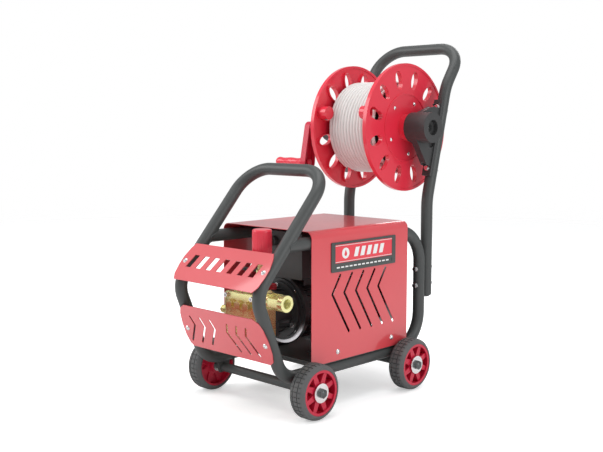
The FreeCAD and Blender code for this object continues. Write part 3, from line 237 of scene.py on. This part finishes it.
def bell_casting(name):
    """Motor end shield: sprayed black, with a painted reflection of the floor: the outer ring tinted as
    bright bare metal along its lower part.
    """
    ring_inner_radius = 0.0875
    reflection_below, full_reflection_below, raggedness = -0.015, -0.045, 0.03     # heights from the axis
    s = Shader(name, (0.030, 0.031, 0.033), 0.26)
    lo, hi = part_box("front_end_shield")
    axes = s.axes()
    across = s.math("SUBTRACT", axes["X"], (lo.x + hi.x) / 2)
    # the top is cut flat, so the axis lies half a width above the lowest point
    up = s.math("SUBTRACT", axes["Z"], lo.z + (hi.x - lo.x) / 2)
    radius = s.math("SQRT", s.math("ADD", s.times(across, across), s.times(up, up)))
    ragged = s.math("ADD", up, s.times(s.noise(30.0, 4.0), raggedness))
    on_ring = s.math("GREATER_THAN", radius, ring_inner_radius)
    # painted reflection: the lower arc of the outer ring is made bright and metallic where the floor would
    # be mirrored
    painted_floor_reflection = s.times(s.ramp(ragged, reflection_below, full_reflection_below), on_ring)
    s.tint(painted_floor_reflection, (0.72, 0.72, 0.74))
    s.link(painted_floor_reflection, s.bsdf.inputs["Metallic"])
    s.bump(s.noise(700.0), 0.00003)
    s.bump(s.noise(90.0), 0.00006)
    s.add_rough(s.noise(200.0, 2.0), 0.05)
    # lighter edges: partly worn paint, partly a painted highlight
    s.edge_wear_and_highlight(0.0009, (0.16, 0.16, 0.165), 0.3)
    return s.done()


def rubber(name, colour, rough, dust):
    """Moulded rubber with dust held in its texture."""
    s = Shader(name, colour, rough, Specular_IOR_Level=0.35)
    s.bump(s.noise(1600.0), 0.00012)
    s.add_rough(s.noise(50.0), 0.1)
    s.tint(s.ramp(s.noise(22.0, 6.0, 0.7), 0.42, 0.8, 0.0, dust), (0.20, 0.19, 0.175))
    # lighter edges: partly rubbed rubber, partly a painted highlight
    s.edge_wear_and_highlight(0.001, (0.16, 0.16, 0.155), 0.2)
    return s.done()


def laminations(name):
    """Stacked steel sheets, seen as fine lines across the axis."""
    s = Shader(name, (0.35, 0.34, 0.33), 0.4, metallic=0.9)
    w = s.add("ShaderNodeTexWave", wave_type="BANDS", bands_direction="Y")
    w.inputs["Scale"].default_value = 320.0
    s.link(s.coords, w.inputs["Vector"])
    s.bump(w.outputs["Fac"], 0.0001)
    s.tint(s.ramp(s.noise(18.0), 0.45, 0.8, 0.0, 0.3), (0.30, 0.16, 0.08))
    return s.done()


def nameplate(name):
    """Printed plate: dark border, red field with a pale rule along its lower and upper edge."""
    side, below, above = 0.0162, 0.0242, 0.0072     # the border's widths round the field
    rule, rule_rise, rule_drop = 0.0014, 0.0020, 0.0024
    s = Shader(name, (0.035, 0.043, 0.040), 0.28, Coat_Weight=0.6, Coat_Roughness=0.08)
    lo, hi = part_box("nameplates")
    axes = s.axes()

    def band(v, a, b):
        return s.times(s.math("GREATER_THAN", v, a), s.math("LESS_THAN", v, b))

    bottom, top = lo.z + below, hi.z - above
    field = s.times(band(axes["Y"], lo.y + side, hi.y - side), band(axes["Z"], bottom, top))
    s.tint(field, (0.80, 0.030, 0.055))
    low_rule = band(axes["Z"], bottom + rule_rise, bottom + rule_rise + rule)
    high_rule = band(axes["Z"], top - rule_drop - rule, top - rule_drop)
    s.tint(s.times(field, s.math("ADD", low_rule, high_rule)), (0.85, 0.83, 0.82))
    s.add_rough(s.noise(40.0), 0.1)
    s.bump(s.noise(900.0, 2.0), 0.00002)
    return s.done()


SLOT_MATERIALS = {
    "tube_paint": powder_coat("tube_paint", (0.055, 0.059, 0.058), 0.38, 1.0, (0.13, 0.135, 0.135), 0.4),
    "zinc_steel": metal("zinc_steel", (0.80, 0.80, 0.80), 0.25, stain=((0.60, 0.60, 0.60), 0.5)),
    "dark_steel": metal("dark_steel", (0.12, 0.13, 0.13), 0.32, stain=((0.07, 0.06, 0.055), 0.5)),
    "red_sheet": powder_coat("red_sheet", (0.68, 0.058, 0.072), 0.30, 0.5, (0.60, 0.02, 0.045), 0.5, 0.8),
    "dark_plate": nameplate("dark_plate"),
    "white_inlay": moulded("white_inlay", (0.86, 0.86, 0.85), 0.30, 0.2),
    "black_plastic": moulded("black_plastic", (0.045, 0.045, 0.046), 0.40),
    "motor_paint": powder_coat("motor_paint", (0.032, 0.033, 0.034), 0.33, 1.4, (0.09, 0.09, 0.09), 0.4),
    "cast_grey": metal("cast_grey", (0.30, 0.30, 0.305), 0.24, cast=0.06),
    "bell_casting": bell_casting("bell_casting"),
    "core_steel": laminations("core_steel"),
    "brass": metal("brass", (0.90, 0.86, 0.42), 0.26, cast=0.07,
                   stain=((0.74, 0.60, 0.24), 0.5), metallic=0.86),
    "plunger_steel": metal("plunger_steel", (0.75, 0.76, 0.78), 0.08),
    "black_rubber": rubber("black_rubber", (0.028, 0.028, 0.029), 0.50, 0.12),
    "hose_grey": moulded("hose_grey", (0.74, 0.73, 0.71), 0.36, 0.4),
    "red_plastic": moulded("red_plastic", (0.78, 0.026, 0.056), 0.26, 0.5, coat=0.4),
    "crimson_plastic": moulded("crimson_plastic", (0.57, 0.012, 0.046), 0.30, 0.5),
    "oil_cap_red": moulded("oil_cap_red", (0.40, 0.014, 0.026), 0.3),
    "tyre_rubber": rubber("tyre_rubber", (0.112, 0.113, 0.114), 0.60, 0.30),
}
# nodes whose finish in the photo differs from the rest of their slot
FINISH_OF = {"front_end_shield": "bell_casting", "crank_arm": "crimson_plastic"}
FINISH_OF.update({name: "crimson_plastic" for name in NODES if name.startswith("rim_")})


def paint(obj, finish):
    obj.data.materials.clear()
    obj.data.materials.append(SLOT_MATERIALS[finish])


for name, obj in NODES.items():
    paint(obj, FINISH_OF.get(name, SLOT_OF[name]))


# ---- mesh helpers ----------------------------------------------------------------------
def new_piece(name, verts, faces, body, slot):
    me = bpy.data.meshes.new(name)
    me.from_pydata([tuple(v) for v in verts], [], faces)
    me.validate()
    bm = bmesh.new()
    bm.from_mesh(me)
    bmesh.ops.recalc_face_normals(bm, faces=bm.faces)
    bm.to_mesh(me)
    bm.free()
    for p in me.polygons:
        p.use_smooth = True
    obj = bpy.data.objects.new(name, me)
    bpy.context.scene.collection.objects.link(obj)
    paint(obj, slot)
    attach(obj, body)
    return obj


def sweep(path, radius, sides, closed=False):
    """Round section swept along points with a turning-free frame; radius is a number or one per point."""
    n = len(path)
    radii = radius if isinstance(radius, list) else [radius] * n
    tangents = []
    for i in range(n):
        a = path[(i - 1) % n] if closed or i > 0 else path[0]
        b = path[(i + 1) % n] if closed or i < n - 1 else path[-1]
        tangents.append((b - a).normalized())
    side = tangents[0].orthogonal().normalized()
    verts, faces = [], []
    for i in range(n):
        t = tangents[i]
        side = (side - t * side.dot(t)).normalized()
        other = t.cross(side)
        for k in range(sides):
            a = 2 * math.pi * k / sides
            verts.append(path[i] + (side * math.cos(a) + other * math.sin(a)) * radii[i])
    rings = n if closed else n - 1
    shift = 0
    if closed:  # match the last ring to the first one's turn
        first, last = verts[0], [verts[(n - 1) * sides + k] for k in range(sides)]
        shift = min(range(sides), key=lambda k: (last[k] - first).length)
    for i in range(rings):
        j = (i + 1) % n
        off = shift if closed and j == 0 else 0
        for k in range(sides):
            a, b = i * sides + (k + off) % sides, i * sides + (k + off + 1) % sides
            faces.append((a, b, j * sides + (k + 1) % sides, j * sides + k))
    if not closed:
        faces += [tuple(range(sides)), tuple((n - 1) * sides + k for k in range(sides))[::-1]]
    return verts, faces


# ---- welds: stitched beads where the side rails meet the front hoop's legs ---------------
TUBE_R, BEAD_R = 0.0175, 0.0022
BEAD_WAIST, BEAD_SWELL = 0.86, 0.22     # share of BEAD_R between ripples, and what a ripple adds
BEAD_STEPS, RIPPLES = 4, 32
LOWER_RAIL_END = (0.030, 0.110)         # y from the front axle, positive towards the rear, and height
UPPER_RAIL_END = (-0.056, 0.461)
LEG_Y, LEG_Z = 0.665, 0.747             # unit direction of the hoop's leaning leg
hoop_low, hoop_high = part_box("front_hoop")
HALF_TRACK = (hoop_high.x - hoop_low.x) / 2 - TUBE_R


def bead(name, ring):
    """A weld bead round a closed ring of points: a sweep whose radius swells at each ripple."""
    pts, radii = [], []
    for i, p in enumerate(ring):
        step = (ring[(i + 1) % len(ring)] - p) / BEAD_STEPS
        for k in range(BEAD_STEPS):
            pts.append(p + step * k)
            radii.append(BEAD_R * (BEAD_WAIST + BEAD_SWELL * math.sin(math.pi * k / BEAD_STEPS)))
    verts, faces = sweep(pts, radii, 8, closed=True)
    new_piece(name, verts, faces, "frame", "tube_paint")


def butt_seam(a):
    """Seam of a rail that ends square against the leg's side."""
    return Vector((TUBE_R * math.cos(a), 0, TUBE_R * math.sin(a)))


def leaning_seam(a):
    """Seam of a level rail and the leaning leg: the curve where two equal tubes cross."""
    along = (LEG_Y * math.sin(a) + abs(math.sin(a))) / LEG_Z
    return Vector((TUBE_R * math.cos(a), TUBE_R * along, TUBE_R * math.sin(a)))


TURN = [2 * math.pi * i / RIPPLES for i in range(RIPPLES)]
for side, tag in ((-1, "left"), (1, "right")):
    for rail, end, seam in (("lower", LOWER_RAIL_END, butt_seam), ("upper", UPPER_RAIL_END, leaning_seam)):
        centre = BASE + Vector((side * HALF_TRACK, *end))
        bead(f"weld_{rail}_rail_{tag}", [centre + seam(a) for a in TURN])


# ---- threads: a ridge wound round the inlet's bore and the outlet's neck -----------------
THREAD_STEPS = 40       # points to a turn
PLAIN_ENDS = 0.003      # length without a ridge, both ends together
RIDGE_TIP = 0.15        # share of its size that the ridge keeps where it runs out


def thread(name, body, mount_name, pitch, ridge, offset):
    """A ridge wound round a mount's axis along X, at its radius plus an offset, half sunk in the wall."""
    mount = MOUNTS[mount_name]
    centre = Vector(mount["pos_m"])
    radius = mount["dims"]["r_mm"] / 1000 + offset
    length = mount["dims"]["length_mm"] / 1000 - PLAIN_ENDS
    total = int(length / pitch * THREAD_STEPS)
    path, radii = [], []
    for i in range(total + 1):
        a = 2 * math.pi * i / THREAD_STEPS
        fade = min(1.0, i / THREAD_STEPS, (total - i) / THREAD_STEPS)
        along = length * (i / total - 0.5)
        path.append(centre + Vector((along, radius * math.sin(a), radius * math.cos(a))))
        radii.append(ridge * (RIDGE_TIP + (1 - RIDGE_TIP) * fade))
    verts, faces = sweep(path, radii, 6)
    new_piece(name, verts, faces, body, "brass")


thread("inlet_thread", "inlet_coupling", "water_inlet", pitch=0.0018, ridge=0.00055, offset=-0.00005)
thread("outlet_thread", "frame", "pressure_outlet", pitch=0.0015, ridge=0.00050, offset=-0.00010)


# ---- wound hose: helical layers in place of the CAD's body of revolution ----------------
REEL_C = JOINT_AT["reel_spin"]
coil_low, coil_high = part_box("wound_hose")
COIL_R = (coil_high.z - coil_low.z) / 2
COIL_HALF = (coil_high.x - coil_low.x) / 2
COIL_TURNS = 14
HOSE_R = COIL_HALF / COIL_TURNS * 0.985  # leaves a hair's breadth between turns
OUTER_R = COIL_R - HOSE_R - 0.0006      # leaves room for the wobble inside the CAD's box
INNER_R = COIL_R - HOSE_R * 2.75        # turns settle a little into those of the outer layer
EDGE_X = COIL_HALF - HOSE_R
TURN_STEPS = 72                         # points to a turn
CROSSING = 0.30                         # part of a turn in which the hose steps over to the next one


def hose_layer(name, radius, x_from, x_to, phase, wobble):
    """One layer of turns; each turn lies flat and steps over to the next one in a short stretch."""
    turns = COIL_TURNS - 1
    path = []
    for i in range(turns * TURN_STEPS + 1):
        t = i / TURN_STEPS
        whole = math.floor(t)
        step = min(1.0, max(0.0, (t - whole - (1 - CROSSING)) / CROSSING))
        step = step * step * (3 - 2 * step)
        x = x_from + (x_to - x_from) * (whole + step) / turns
        a = phase + 2 * math.pi * t
        # two waves out of step with the turns, so that no two turns lie alike
        r = radius + wobble * (math.sin(2.0 * a + t) + 0.6 * math.sin(3.1 * t + 1.3))
        path.append(REEL_C + Vector((x, r * math.sin(a), r * math.cos(a))))
    verts, faces = sweep(path, HOSE_R, 12)
    piece = new_piece(name, verts, faces, "reel", "hose_grey")
    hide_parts("wound_hose")


hose_layer("hose_outer_layer", OUTER_R, -EDGE_X, EDGE_X, phase=3.6, wobble=0.0003)
hose_layer("hose_inner_layer", INNER_R, EDGE_X, -EDGE_X, phase=0.4, wobble=0.0)


# ---- world: a pale studio glow, seen as pure white by the camera --------------------------
world = bpy.data.worlds.new("studio")
bpy.context.scene.world = world
world.use_nodes = True
tree = world.node_tree
glow, white = tree.nodes["Background"], tree.nodes.new("ShaderNodeBackground")
glow.inputs["Color"].default_value = (0.97, 0.985, 1.0, 1.0)
glow.inputs["Strength"].default_value = 0.54
white.inputs["Color"].default_value = (1.0, 1.0, 1.0, 1.0)
rays, pick = tree.nodes.new("ShaderNodeLightPath"), tree.nodes.new("ShaderNodeMixShader")
tree.links.new(rays.outputs["Is Camera Ray"], pick.inputs[0])
tree.links.new(glow.outputs[0], pick.inputs[1])
tree.links.new(white.outputs[0], pick.inputs[2])
tree.links.new(pick.outputs[0], tree.nodes["World Output"].inputs[0])


# ---- floor ------------------------------------------------------------------------------
FLOOR_RINGS, FLOOR_SIDES, FLOOR_Z = (1.0, 2.0, 4.0, 8.0), 64, -0.0005
FADE_FROM, FADE_TO = 2.2, 6.5           # radii between which the floor fades out
CAMERA_LIFT = 0.42                      # glow that lifts the paper towards white, for the camera only


def floor_paper():
    """Matt paper, lifted towards white for the camera and faded out towards the rim."""
    s = Shader("floor_paper", (0.94, 0.94, 0.94), 0.75, Specular_IOR_Level=0.15)
    s.bump(s.noise(300.0), 0.0001)
    mat = s.done()
    light, clear = s.add("ShaderNodeEmission"), s.add("ShaderNodeBsdfTransparent")
    rays, lift = s.add("ShaderNodeLightPath"), s.add("ShaderNodeAddShader")
    fade = s.add("ShaderNodeMixShader")
    s.link(s.times(rays.outputs["Is Camera Ray"], CAMERA_LIFT), light.inputs["Strength"])
    s.link(s.bsdf.outputs[0], lift.inputs[0])
    s.link(light.outputs[0], lift.inputs[1])
    dist = s.add("ShaderNodeVectorMath", operation="LENGTH")
    s.link(s.coords, dist.inputs[0])
    s.link(s.ramp(dist.outputs["Value"], FADE_FROM, FADE_TO), fade.inputs[0])
    s.link(lift.outputs[0], fade.inputs[1])
    s.link(clear.outputs[0], fade.inputs[2])
    s.link(fade.outputs[0], s.tree.nodes["Material Output"].inputs["Surface"])
    return mat


def studio_floor():
    """A round sheet of paper just under the wheels."""
    turn = [2 * math.pi * k / FLOOR_SIDES for k in range(FLOOR_SIDES)]
    verts = [(r * math.cos(a), r * math.sin(a), FLOOR_Z) for r in FLOOR_RINGS for a in turn]
    faces = [tuple(range(FLOOR_SIDES))]
    for i in range(len(FLOOR_RINGS) - 1):
        for k in range(FLOOR_SIDES):
            a, b = i * FLOOR_SIDES + k, i * FLOOR_SIDES + (k + 1) % FLOOR_SIDES
            faces.append((a, a + FLOOR_SIDES, b + FLOOR_SIDES, b))
    me = bpy.data.meshes.new("floor")
    me.from_pydata(verts, [], faces)
    obj = bpy.data.objects.new("floor", me)
    bpy.context.scene.collection.objects.link(obj)
    me.materials.append(floor_paper())


studio_floor()


# ---- lights and camera, placed from BASE --------------------------------------------------
def place(data, at, look):
    """Puts a light or camera at an offset from BASE, looking along a direction."""
    o = bpy.data.objects.new(data.name, data)
    bpy.context.scene.collection.objects.link(o)
    o.location = BASE + Vector(at)
    o.rotation_mode = "QUATERNION"
    o.rotation_quaternion = look.to_track_quat("-Z", "Y")
    return o


LIT_POINT = Vector((0.0, 0.25, 0.5))
SOFTBOXES = {  # name: (place, width and height, power in watts)
    "key_left": ((-2.4, -2.2, 2.4), (2.2, 2.2), 62.0),
    "fill_right": ((3.2, 0.4, 1.6), (2.0, 2.0), 30.0),
    "top": ((0.0, 0.3, 3.4), (2.6, 2.6), 48.0),
    "rim": ((-1.0, 3.4, 2.2), (2.0, 1.6), 34.0),
}
for name, (at, size, power) in SOFTBOXES.items():
    light = bpy.data.lights.new(name, "AREA")
    light.shape, light.size, light.size_y = "RECTANGLE", size[0], size[1]
    light.energy = power
    place(light, at, LIT_POINT - Vector(at))

# the photo's camera, solved from the wheels, the cover's edges, the tubes and the reel's discs
CAMERA_AT = (1.8543, -1.7364, 0.7740)
AZIMUTH, PITCH = math.radians(44.29), math.radians(6.21)
SENSOR_MM, FOCAL_MM = 36.0, 55.56239
cam_data = bpy.data.cameras.new("camera")
cam_data.sensor_width, cam_data.lens = SENSOR_MM, FOCAL_MM
cam_data.clip_start, cam_data.clip_end = 0.05, 60.0
level = math.cos(PITCH)
look = Vector((-math.sin(AZIMUTH) * level, math.cos(AZIMUTH) * level, -math.sin(PITCH)))
bpy.context.scene.camera = place(cam_data, CAMERA_AT, look)
bpy.context.scene.view_settings.view_transform = "Standard"
